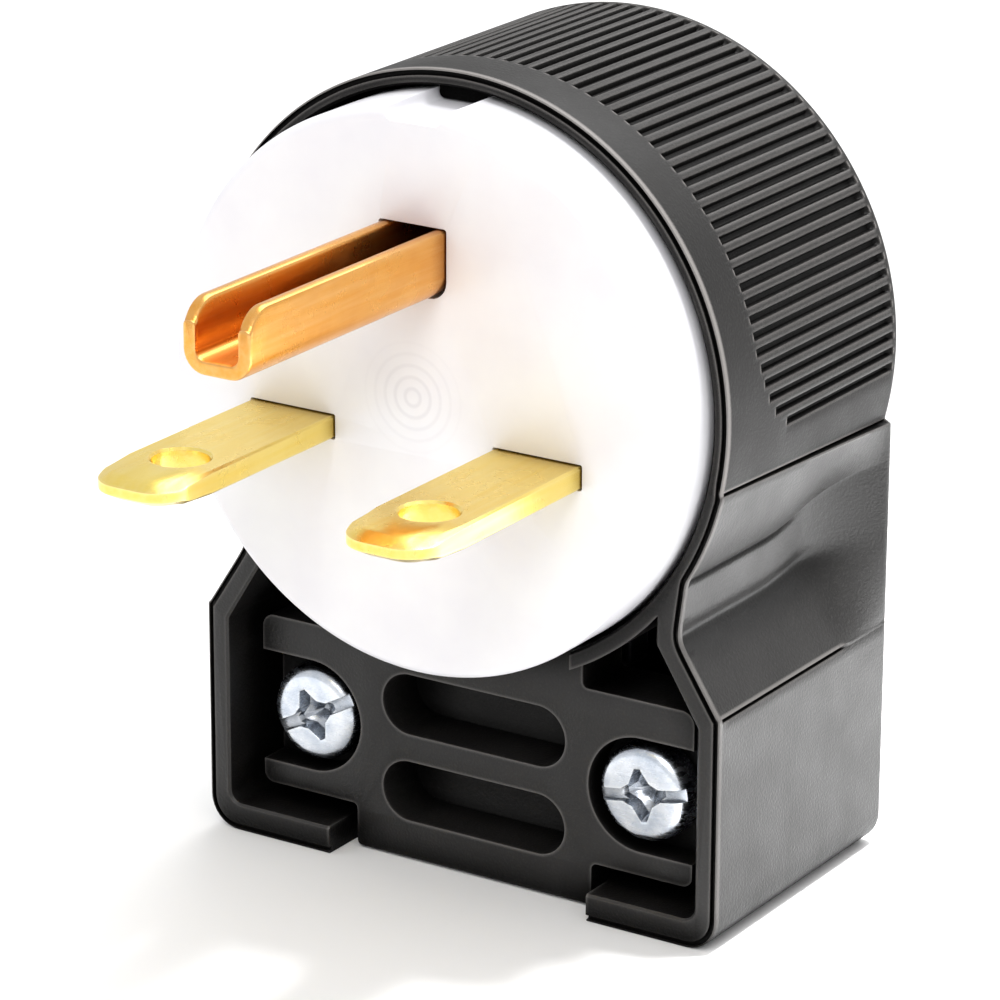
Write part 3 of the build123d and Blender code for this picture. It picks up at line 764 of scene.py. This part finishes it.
def mating_face():
    disc = lathe("face_disc", face_profile(), count=192)
    beyond = FACE_BACK + 1
    notch = rectangle(-KEY_WIDTH / 2, KEY_WIDTH / 2, KEY_LEVEL, FACE_RADIUS + 2)
    cut(disc, prism("notch", rounded(notch, [0.5, 0.5, 0, 0]), -1, KEY_BACK))
    half_width, half_thick = BLADE_WIDTH / 2 + SLOT_GAP, BLADE_THICK / 2 + SLOT_GAP
    for mirror in (-1, 1):
        x = mirror * BLADE_X
        slot = rectangle(x - half_width, x + half_width, BLADE_Z - half_thick, BLADE_Z + half_thick)
        cut(disc, prism("slot", rounded(slot, 0.15), -1, beyond))
        cut(disc, rod("hole", BODY_SCREW_HOLE, BODY_SCREW_FRONT, beyond, mirror * BODY_SCREW_X,
                      BODY_SCREW_Z, 24))
    half_width = PIN_WIDTH / 2 + SLOT_GAP
    slot = rectangle(-half_width, half_width, PIN_TOP - PIN_HEIGHT - SLOT_GAP, PIN_TOP + SLOT_GAP)
    cut(disc, prism("slot", rounded(slot, [1.2, 1.2, 0.2, 0.2]), -1, beyond))
    for x, z in TERMINALS.values():
        cut(disc, rod("hole", SCREW_WELL, SCREW_WELL_FRONT, beyond, x, z))
    shade(bevel(disc, 0.09, 50))
    place(disc, "plug", "white_nylon", "plug_face")


# ---------------------------------------------------------------- blades and ground pin
def blade_outline():
    """Blade seen from above, on its own middle line: (x, y) from the pad to the rounded tip."""
    half = BLADE_WIDTH / 2
    corners = [(-half, PAD_BACK), (-half, BLADE_TIP), (half, BLADE_TIP), (half, PAD_BACK)]
    outline = rounded(corners, [0, TIP_CORNER, TIP_CORNER, 0], 10)
    dense = []
    for i, (x, y) in enumerate(outline):
        next_x, next_y = outline[(i + 1) % len(outline)]
        steps = 12 if abs(next_y - y) > BLADE_WIDTH else 1
        dense += [(mix(x, next_x, step / steps), mix(y, next_y, step / steps))
                  for step in range(steps)]
    return dense


def blade(side, label):
    """One line blade: swaged tip, eased edges, detent hole, and the terminal pad inside."""
    outline = blade_outline()
    inwards = inset(outline, 1.0)
    half, eased, tip_width, tip_drop = BLADE_THICK / 2, 0.14, 0.85, 0.46
    loops = []
    for z_sign, inner in ((-1, True), (-1, False), (1, False), (1, True)):
        loop = []
        for (x, y), (inner_x, inner_y) in zip(outline, inwards):
            tip = 1 - blend01(y, BLADE_TIP + 1.3, BLADE_TIP + 3.2)
            share = mix(eased, tip_width, tip) if inner else 0.0
            height = half if inner else half - mix(eased, tip_drop, tip)
            loop.append((side * BLADE_X + mix(x, inner_x, share), mix(y, inner_y, share),
                         BLADE_Z + z_sign * height))
        loops.append(loop)
    piece = loft(f"blade_{label}", loops)
    wide, lip = BLADE_HOLE + 2 * BLADE_HOLE_LIP, BLADE_HOLE_LIP
    rows = ((wide, -half - lip), (BLADE_HOLE, lip - half), (BLADE_HOLE, half - lip),
            (wide, half + lip))
    cut(piece, loft("hole", [[(side * BLADE_X + x, BLADE_HOLE_Y + y, BLADE_Z + z)
                              for x, y in circle(radius, count=48)] for radius, z in rows]))
    inner_x, outer_x = sorted((side * PAD_INNER_X, side * PAD_OUTER_X))
    pad = terminal_pad(inner_x, outer_x, PAD_LOW, BLADE_TOP)
    shade(cut(fuse(piece, pad), pad_hole(label)), 35)
    place(piece, "plug", "blade_brass", f"line_blade_{label}")


def terminal_pad(x0, x1, z0, z1):
    return prism("pad", rounded(rectangle(x0, x1, z0, z1), PAD_CORNER), PAD_FRONT, PAD_BACK)


def pad_hole(label):
    return rod("pad_hole", TERMINAL_HOLE, PAD_FRONT - 1, PAD_BACK + 1, *TERMINALS[label])


def pin_section(wall_top):
    """U section of the ground pin with its walls stopped at wall_top, counterclockwise."""
    half, low = PIN_WIDTH / 2, PIN_TOP - PIN_HEIGHT
    centre, fold, floor = half - PIN_FOLD, PIN_FOLD - PIN_WALL, low + PIN_WALL
    bend = quarter(10, -90)
    outside = [(centre + PIN_FOLD * c, low + PIN_FOLD + PIN_FOLD * s) for c, s in bend]
    inside = [(centre + fold * c, floor + fold + fold * s) for c, s in bend]
    edge, inner = PIN_RIM, half - PIN_WALL
    rim = [(half, wall_top - edge), (half - edge * 0.3, wall_top - edge * 0.3),
           (half - edge, wall_top), (inner + edge, wall_top),
           (inner + edge * 0.3, wall_top - edge * 0.3), (inner, wall_top - edge)]
    right = outside + rim + inside[::-1]
    return right + [(-x, z) for x, z in reversed(right)]


def ground_pin():
    """Folded channel: arched nose on both walls, soft folds and the bent pad inside."""
    rows, nose_steps, length_steps, first_angle = [], 12, 14, 24
    for step in range(nose_steps + 1):
        angle = math.radians(mix(first_angle, 90, step / nose_steps))
        back = PIN_NOSE * (1 - math.cos(angle))
        drop = PIN_NOSE - math.sqrt(max(0.0, PIN_NOSE**2 - (PIN_NOSE - back)**2))
        rows.append((PIN_TIP + back, PIN_TOP - drop))
    rows += [(mix(PIN_TIP + PIN_NOSE, PAD_FRONT + 0.2, step / length_steps), PIN_TOP)
             for step in range(1, length_steps + 1)]
    tip = pin_section(rows[0][1])
    loops = [at_y(inset(tip, 0.14), PIN_TIP), at_y(inset(tip, 0.04), PIN_TIP + 0.05)]
    loops += [at_y(pin_section(top), y) for y, top in rows]
    piece = loft("ground_channel", loops)
    floor = PIN_TOP - PIN_HEIGHT + PIN_WALL
    pad = terminal_pad(-PIN_PAD_HALF, PIN_PAD_HALF, PIN_PAD_LOW, floor)
    shade(cut(fuse(piece, pad), pad_hole("ground")), 38)
    place(piece, "plug", "ground_brass", "ground_pin")


# ---------------------------------------------------------------- cord clamp
def clamp_outline():
    """Front view of the clamp: two arms, an arched tab on top and a wider foot below."""
    web, tab, arch, arch_low = 9.1, 8.3, 18.8, -15.0
    top, arm_bottom = -19.75, -31.7
    right = [(web, CLAMP_LOW), (web, arm_bottom), (CLAMP_END, arm_bottom), (CLAMP_END, top),
             (tab, top), (tab, arch_low)]
    radii = [0.3, 0.4, 0.7, 0.9, 0.4, 0]
    corners = rounded(right + [(-x, z) for x, z in reversed(right)], radii + radii[::-1])
    edge, steps = math.asin(tab / arch), 24
    angles = [mix(edge, -edge, step / steps) for step in range(steps + 1)]
    arc = [(arch * math.sin(angle), -arch * math.cos(angle)) for angle in angles]
    first = next(i for i, (_, z) in enumerate(corners) if z == arch_low)
    return corners[:first] + arc + corners[first + 2:]


def cord_clamp():
    ear_back, web_back, web_top, jaw_half_width = 11.7, 12.2, -18.8, 7.1
    pocket_levels, pocket_width, pocket_height, pocket_depth = (-23.8, -29.9), 14.1, 4.2, 4.0
    piece = prism("clamp_bar", clamp_outline(), CLAMP_FRONT, ear_back)
    fuse(piece, block("web", -jaw_half_width, jaw_half_width, ear_back - 1, web_back, CLAMP_LOW,
                      web_top))
    jaw_end = jaw_half_width - 0.01
    for level in JAW_LEVELS:
        fuse(piece, block("jaw", -jaw_end, jaw_end, web_back - 1, CLAMP_JAW,
                          level - JAW_HALF, level + JAW_HALF))
    for level in pocket_levels:
        pocket = stadium(pocket_width, pocket_height, level)
        cut(piece, prism("pocket", pocket, CLAMP_FRONT - 1, CLAMP_FRONT + pocket_depth))
    for mirror in (-1, 1):
        x, z, bay = mirror * CLAMP_SCREW_X, CLAMP_SCREW_Z, 3.9
        round_bay = rod("bay", bay, CLAMP_FRONT - 1, EAR_FLOOR, x, z, 64)
        side_bay = block("bay", x, mirror * HALF_WIDTH, CLAMP_FRONT - 1, EAR_FLOOR,
                         z - bay, z + bay)
        hole = rod("hole", CLAMP_SCREW_HOLE, EAR_FLOOR - 1, ear_back + 1, x, z)
        cut(piece, fuse(round_bay, side_bay), hole)
    shade(bevel(piece, 0.14, 42))
    place(piece, "cord_clamp", "black_nylon", "cord_clamp")


# ---------------------------------------------------------------- screws
def threaded_shank(name, x, z, start, end, radius, pitch, depth):
    """Shank with a rolled helical thread; it tapers at the end away from the head."""
    count, rows_per_turn = 32, 10
    length = abs(end - start)
    rows = int(length / pitch * rows_per_turn)
    towards = 1 if end > start else -1
    loops = []
    for row in range(rows + 1):
        along = length * row / rows
        fade = blend01(along, 0.2, 1.2) * blend01(length - along, 0.0, 1.0)
        taper = 0.35 * (1 - blend01(length - along, 0.0, 0.9))
        loop = []
        for i in range(count):
            turn = i / count
            phase = (along / pitch - towards * turn) % 1.0
            groove = depth * (1 - abs(2 * phase - 1)) * fade
            r = radius - groove - taper
            angle = 2 * math.pi * turn
            loop.append((x + r * math.cos(angle), start + towards * along, z + r * math.sin(angle)))
        loops.append(loop)
    return loft(name, loops)


def driver_slot(radius, start, end, x, z, tilt):
    """Straight slot across a screw head."""
    outline = turned(rectangle(-radius - 0.5, radius + 0.5, -DRIVER_SLOT_HALF, DRIVER_SLOT_HALF),
                     tilt)
    return prism("slot", [(x + across, z + up) for across, up in outline], start, end)


def recess_tool(radius, seat, top, towards, x, z, tilt):
    """Recess of a combination head: a straight slot across a tapered four-pointed socket."""
    depth = abs(seat - top)
    point, waist, blunt = 0.54 * radius, 0.33 * radius, 7

    def star(scale):
        outline = []
        for quarter_turn in (0, 90, 180, 270):
            for angle, reach in ((-blunt, point), (blunt, point), (45, waist)):
                turn = math.radians(tilt + quarter_turn + angle)
                outline.append((x + scale * reach * math.cos(turn),
                                z + scale * reach * math.sin(turn)))
        return outline

    levels = ((-1.2, 1.0), (0.0, 1.0), (0.45 * depth, 0.82), (0.60 * depth, 0.45),
              (0.86 * depth, 0.2))
    socket = loft("socket", [at_y(star(scale), top + towards * level) for level, scale in levels])
    slot = driver_slot(radius, top - towards, top + towards * 0.24 * depth, x, z, tilt)
    return fuse(slot, socket)


def screw(name, body, slot, node, tilt, kind, head_in_front=False, combination=True):
    """Pan-head screw filling the box of its CAD node; tilt turns its recess, in degrees."""
    height, shank_radius, thread_depth, pitch = kind
    (x0, x1), (y0, y1), (z0, z1) = span(node)
    x, z, radius = (x0 + x1) / 2, (z0 + z1) / 2, (x1 - x0) / 2
    top, end, towards = (y0, y1, 1) if head_in_front else (y1, y0, -1)
    seat = top + towards * height
    edge, crown = 0.26 * radius, 0.5 * radius
    rim = radius - edge
    profile = [(crown, top), ((crown + rim) / 2, top + towards * 0.02)]
    profile += [(rim + edge * sine, top + towards * (0.05 + 0.40 * height * (1 - cosine)))
                for cosine, sine in quarter(8)]
    profile += [(radius, seat - towards * 0.12), (radius - 0.12, seat)]
    piece = lathe(name, profile, x, z, 64)
    if combination:
        cut(piece, recess_tool(radius, seat, top, towards, x, z, tilt))
    else:
        cut(piece, driver_slot(radius, top - towards, top + towards * 0.5 * height, x, z, tilt))
    bevel(piece, 0.06, 45, 1)
    shank = threaded_shank("shank", x, z, seat - towards * 0.3, end, shank_radius, pitch,
                           thread_depth)
    shade(fuse(piece, shank), 38)
    place(piece, body, slot, node)


def screws():
    for label, tilt in (("left", 28), ("right", 10)):
        node = f"cord_clamp_screw_{label}"
        screw(f"clamp_screw_{label}", node, "zinc_steel", node, tilt, CLAMP_SCREW,
              head_in_front=True)
    for label, tilt in (("left", 20), ("right", 65), ("ground", -35)):
        node, ground = f"terminal_screw_{label}", label == "ground"
        slot = "green_screw" if ground else "brass_screw"
        screw(f"wire_screw_{label}", node, slot, node, tilt, TERMINAL_SCREW, combination=ground)
    for label, tilt in (("left", 10), ("right", 50)):
        screw(f"tapping_screw_{label}", "plug", "zinc_steel", f"body_screw_{label}", tilt,
              BODY_SCREW)


# ---------------------------------------------------------------- parts kept from the CAD
def kept_parts():
    """Simple inner parts keep their CAD mesh and get eased edges and a real finish."""
    kept = {"terminal_body": ("terminal_plastic", 0.15)}
    for label in ("left", "right", "ground"):
        kept[f"wire_plate_{label}"] = ("zinc_steel", 0.10)
    for label in ("left", "right"):
        kept[f"clamp_nut_{label}"] = ("zinc_steel", 0.15)
    for node, (slot, width) in kept.items():
        obj = NODES[node]
        obj.data.materials.clear()
        obj.data.materials.append(MATERIALS[slot])
        step = obj.modifiers.new("eased_edges", "BEVEL")
        step.limit_method = "ANGLE"
        step.angle_limit = math.radians(50)
        step.width = width * MM
        step.segments = 2


# ---------------------------------------------------------------- studio
def studio():
    """Pale seamless floor under the plug, white surroundings and soft lights."""
    size, level = 1500.0, UNDERSIDE - 0.02
    corners = [(x, y, level) for x, y in rectangle(-size, size, -size, size)]
    floor = new_object("floor", corners, [(0, 1, 2, 3)])
    n = Nodes("floor_white")
    cloud = n.noise(9, 2.0)
    n.finish(n.ramp(cloud, 0.3, 0.7, (0.93, 0.93, 0.93), (0.95, 0.95, 0.95)),
             n.ramp(cloud, 0.3, 0.7, 0.80, 0.86), n.bump(cloud, 0.02, 0.1))
    floor.data.materials.append(n.material)
    world = bpy.data.worlds.new("studio")
    world.use_nodes = True
    background = world.node_tree.nodes["Background"]
    background.inputs["Color"].default_value = (1.0, 1.0, 1.0, 1)
    background.inputs["Strength"].default_value = 0.86
    bpy.context.scene.world = world
    soft_sun("top", azimuth=176, elevation=52, spread=50, strength=1.7)
    soft_sun("fill", azimuth=20, elevation=45, spread=30, strength=0.9)
    floor_patch((0.13, 0.13, 0.48), (0.052, 0.050, level * MM), cone=15, power=52.0)


def floor_patch(where, target, cone, power):
    """Spot on the floor beside the right side: its reflection gives the side its sheen."""
    light = bpy.data.lights.new("floor_patch", "SPOT")
    light.spot_size = math.radians(cone)
    light.spot_blend = 1.0
    light.shadow_soft_size = 0.05
    light.energy = power
    add_light(light, where, Vector(target) - Vector(where))


def add_light(light, where, direction):
    obj = bpy.data.objects.new(light.name, light)
    obj.location = where
    obj.rotation_euler = direction.to_track_quat("-Z", "Y").to_euler()
    bpy.context.scene.collection.objects.link(obj)


def soft_sun(name, azimuth, elevation, spread, strength):
    """Very soft distant light; azimuth is 0 in front of the face and 90 on its right."""
    light = bpy.data.lights.new(name, "SUN")
    light.angle = math.radians(spread)
    light.energy = strength
    turn, rise = math.radians(azimuth), math.radians(elevation)
    where = Vector((math.sin(turn) * math.cos(rise), -math.cos(turn) * math.cos(rise),
                    math.sin(rise)))
    add_light(light, where, -where)


def camera():
    """Camera to the right of the face and above it, with its aim off the face's centre."""
    azimuth, elevation, roll = (math.radians(angle) for angle in (32.724, 19.087, 0.192))
    distance, aim_right, aim_up = 0.301089, 0.005416, -0.006352
    back = Vector((math.sin(azimuth) * math.cos(elevation),
                   -math.cos(azimuth) * math.cos(elevation), math.sin(elevation)))
    level_right = Vector((math.cos(azimuth), math.sin(azimuth), 0))
    level_up = back.cross(level_right)
    right = math.cos(roll) * level_right + math.sin(roll) * level_up
    up = math.cos(roll) * level_up - math.sin(roll) * level_right
    data = bpy.data.cameras.new("camera")
    data.sensor_width = 36
    data.lens = 174.79
    data.clip_start = 0.01
    obj = bpy.data.objects.new("camera", data)
    target = aim_right * right + aim_up * up
    turn = Matrix((right, up, back)).transposed().to_4x4()
    obj.matrix_world = Matrix.Translation(target + back * distance) @ turn
    bpy.context.scene.collection.objects.link(obj)
    bpy.context.scene.camera = obj
    bpy.context.scene.view_settings.view_transform = "Standard"


camera()
studio()
housing()
mating_face()
for blade_side, blade_label in ((-1, "left"), (1, "right")):
    blade(blade_side, blade_label)
ground_pin()
cord_clamp()
screws()
kept_parts()
